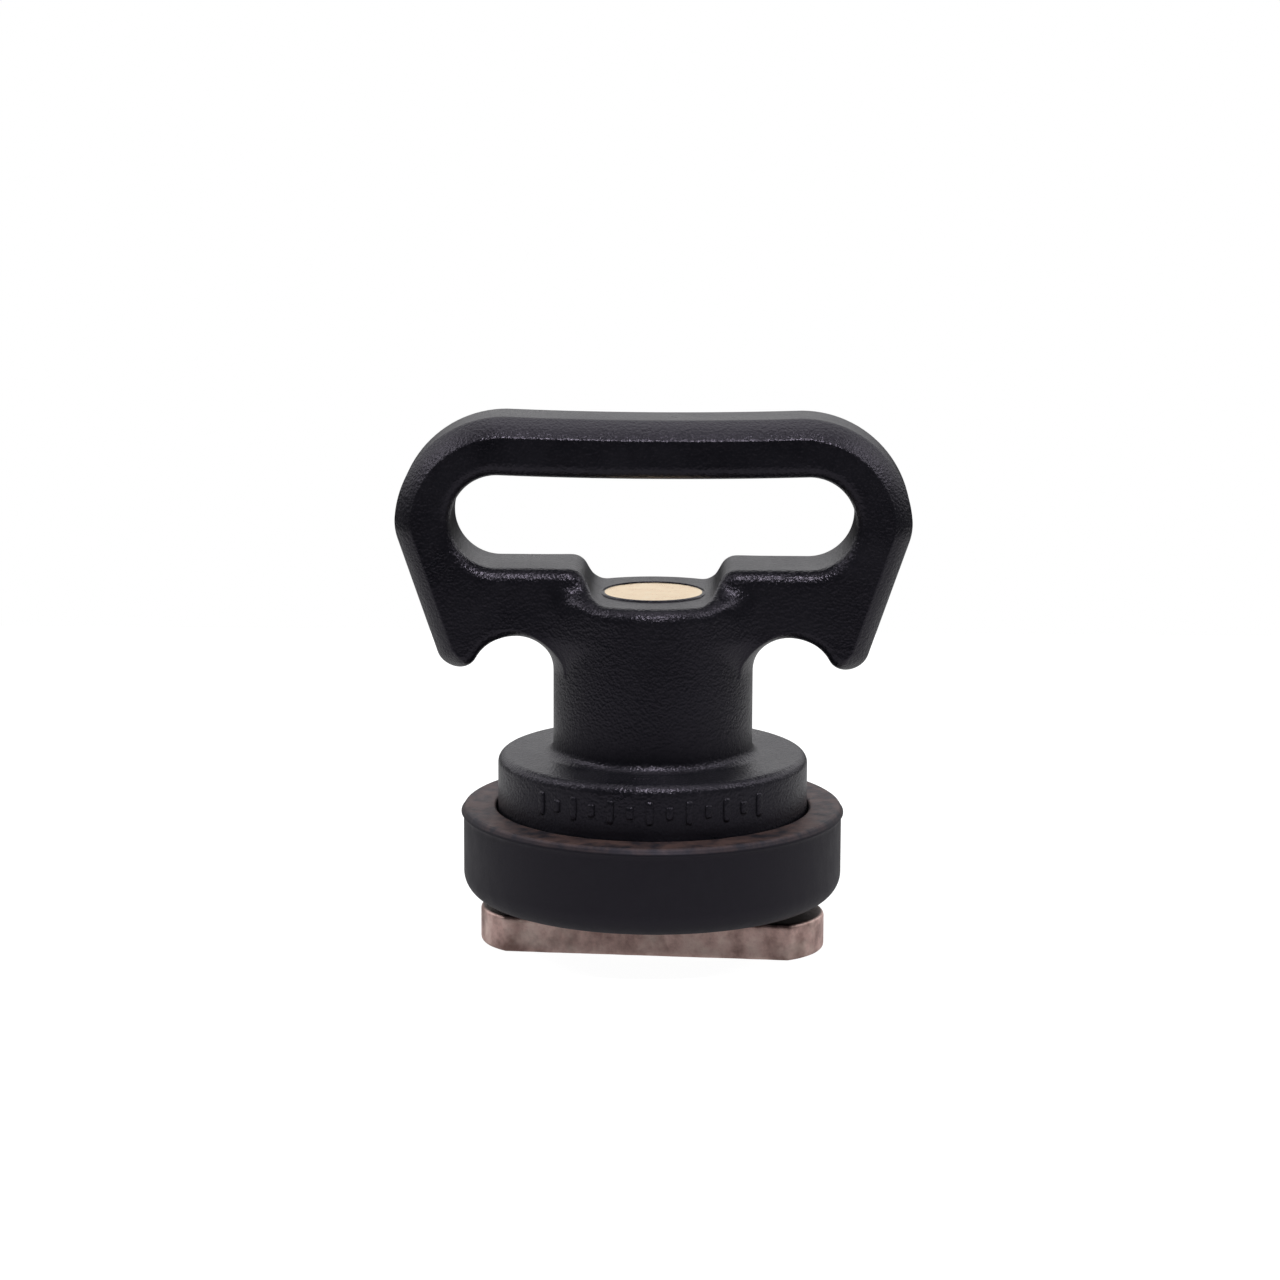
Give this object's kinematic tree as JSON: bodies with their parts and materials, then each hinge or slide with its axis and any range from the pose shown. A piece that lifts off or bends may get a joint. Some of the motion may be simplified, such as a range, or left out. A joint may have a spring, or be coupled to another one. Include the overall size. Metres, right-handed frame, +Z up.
{
  "type": "strap and bungee tie-down anchor",
  "caption": "Track-mounted tie-down anchor: a moulded finger-turn handle with a strap loop and two bungee hooks on a T-bolt, seated on a rubber ring.",
  "frame": {"origin": "on the screw axis, in the plane of the rubber ring's underside, where the anchor sits on its track", "axes": "+Z up along the screw axis to the strap loop, +X along the loop's length, -Y the front with the raised marks"},
  "size_m": [0.048, 0.0362, 0.0506],
  "materials": {
    "handle_nylon": "moulded, fine pitted grain, semi-matt black",
    "insert_brass": "turned face, pale",
    "ring_rubber": "moulded, dusty top, shaved rim",
    "bolt_steel": "cast and tumbled, warm grey"
  },
  "bodies": {
    "ring": {"rubber_ring": "ring_rubber"},
    "handle": {"handle": "handle_nylon", "threaded_insert": "insert_brass"},
    "t_bolt": {"t_bolt": "bolt_steel"}
  },
  "joints": [
    {"name": "handle_turn", "type": "hinge", "parent": "ring", "child": "handle", "pos_m": [0, 0, 0.012], "axis": [0, 0, 1], "range_deg": [-430, 2160]},
    {"name": "bolt_draw", "type": "slide", "parent": "ring", "child": "t_bolt", "axis": [0, 0, -1], "range_m": [-0.00153, 0.00762]}
  ],
  "couplings": [
    {"joint": "bolt_draw", "follows": "handle_turn", "m_per_rad": 0.00020213}
  ]
}
